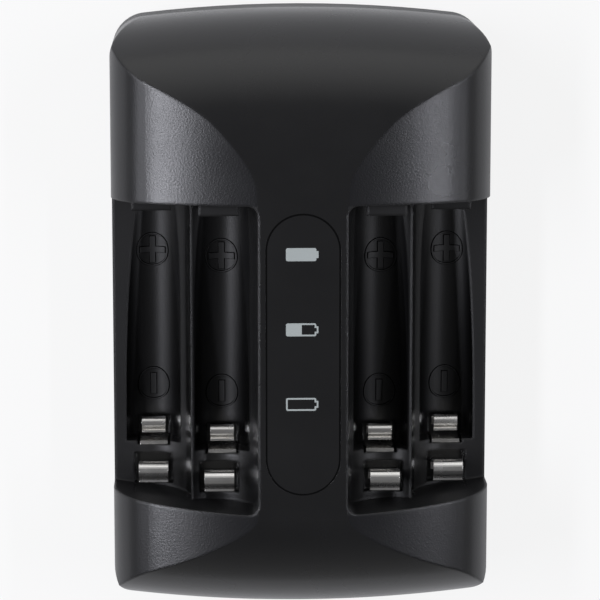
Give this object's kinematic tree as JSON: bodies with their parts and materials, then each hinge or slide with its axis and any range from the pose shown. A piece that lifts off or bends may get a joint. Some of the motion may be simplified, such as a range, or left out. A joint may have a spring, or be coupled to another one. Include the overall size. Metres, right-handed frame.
{
  "type": "battery charger",
  "caption": "Plug-in charger for AA and AAA cells: crowned black case with open bays beside a centre ridge, sprung contacts, indicator window and a folding mains plug.",
  "frame": {"origin": "centre of the back face", "axes": "+X across, +Y along the body to its upper end, +Z out of the front"},
  "size_m": [0.073, 0.1166, 0.036],
  "materials": {
    "housing_black": "fine satin texture",
    "window_dark": "smooth",
    "clear_plastic": "polished clear",
    "led_full": "diffused",
    "led_half": "diffused",
    "led_empty": "diffused",
    "board_green": "solder mask",
    "ferrite": "sintered",
    "copper_coil": "enamelled wire",
    "can_sleeve": "shrink sleeve",
    "chip_black": "moulded",
    "fuse_body": "ceramic",
    "nickel_spring": "nickel plated",
    "brass_plated": "plated",
    "screw_steel": "plain"
  },
  "bodies": {
    "housing": {"front_housing": "housing_black", "rear_cover": "housing_black", "indicator_window": "window_dark", "light_guide": "clear_plastic", "led_full": "led_full", "led_half": "led_half", "led_empty": "led_empty", "circuit_board": "board_green", "transformer_core": "ferrite", "transformer_winding": "copper_coil", "input_capacitor": "can_sleeve", "output_capacitor": "can_sleeve", "bridge_rectifier": "chip_black", "controller_chip": "chip_black", "fuse": "fuse_body", "choke": "copper_coil", "positive_contact_1": "nickel_spring", "positive_contact_2": "nickel_spring", "positive_contact_3": "nickel_spring", "positive_contact_4": "nickel_spring", "spring_tab_1": "nickel_spring", "spring_tab_2": "nickel_spring", "spring_tab_3": "nickel_spring", "spring_tab_4": "nickel_spring", "mains_terminal_left": "brass_plated", "mains_terminal_right": "brass_plated", "screw_1": "screw_steel", "screw_2": "screw_steel", "screw_3": "screw_steel", "screw_4": "screw_steel"},
    "plug": {"plug_block": "housing_black", "plug_blade_left": "brass_plated", "plug_blade_right": "brass_plated"},
    "aa_spring_body_1": {"aa_contact_1": "nickel_spring"},
    "aa_spring_body_2": {"aa_contact_2": "nickel_spring"},
    "aa_spring_body_3": {"aa_contact_3": "nickel_spring"},
    "aa_spring_body_4": {"aa_contact_4": "nickel_spring"},
    "aaa_spring_body_1": {"aaa_contact_1": "nickel_spring"},
    "aaa_spring_body_2": {"aaa_contact_2": "nickel_spring"},
    "aaa_spring_body_3": {"aaa_contact_3": "nickel_spring"},
    "aaa_spring_body_4": {"aaa_contact_4": "nickel_spring"}
  },
  "joints": [
    {"name": "plug_fold", "type": "hinge", "parent": "housing", "child": "plug", "pos_m": [0, 0.042, 0.0056], "axis": [1, 0, 0], "range_deg": [0, 90]},
    {"name": "aa_spring_1", "type": "hinge", "parent": "housing", "child": "aa_spring_body_1", "pos_m": [-0.02875, -0.03143, 0.01496], "axis": [1, 0, 0], "range_deg": [0, 7], "stiffness_Nm_per_rad": 0.15},
    {"name": "aa_spring_2", "type": "hinge", "parent": "housing", "child": "aa_spring_body_2", "pos_m": [-0.01595, -0.03143, 0.02296], "axis": [1, 0, 0], "range_deg": [0, 7], "stiffness_Nm_per_rad": 0.15},
    {"name": "aa_spring_3", "type": "hinge", "parent": "housing", "child": "aa_spring_body_3", "pos_m": [0.01595, -0.03143, 0.02296], "axis": [1, 0, 0], "range_deg": [0, 7], "stiffness_Nm_per_rad": 0.15},
    {"name": "aa_spring_4", "type": "hinge", "parent": "housing", "child": "aa_spring_body_4", "pos_m": [0.02875, -0.03143, 0.01496], "axis": [1, 0, 0], "range_deg": [0, 7], "stiffness_Nm_per_rad": 0.15},
    {"name": "aaa_spring_1", "type": "hinge", "parent": "housing", "child": "aaa_spring_body_1", "pos_m": [-0.02875, -0.02355, 0.00916], "axis": [1, 0, 0], "range_deg": [0, 15], "stiffness_Nm_per_rad": 0.1},
    {"name": "aaa_spring_2", "type": "hinge", "parent": "housing", "child": "aaa_spring_body_2", "pos_m": [-0.01535, -0.02355, 0.01716], "axis": [1, 0, 0], "range_deg": [0, 15], "stiffness_Nm_per_rad": 0.1},
    {"name": "aaa_spring_3", "type": "hinge", "parent": "housing", "child": "aaa_spring_body_3", "pos_m": [0.01535, -0.02355, 0.01716], "axis": [1, 0, 0], "range_deg": [0, 15], "stiffness_Nm_per_rad": 0.1},
    {"name": "aaa_spring_4", "type": "hinge", "parent": "housing", "child": "aaa_spring_body_4", "pos_m": [0.02875, -0.02355, 0.00916], "axis": [1, 0, 0], "range_deg": [0, 15], "stiffness_Nm_per_rad": 0.1}
  ]
}
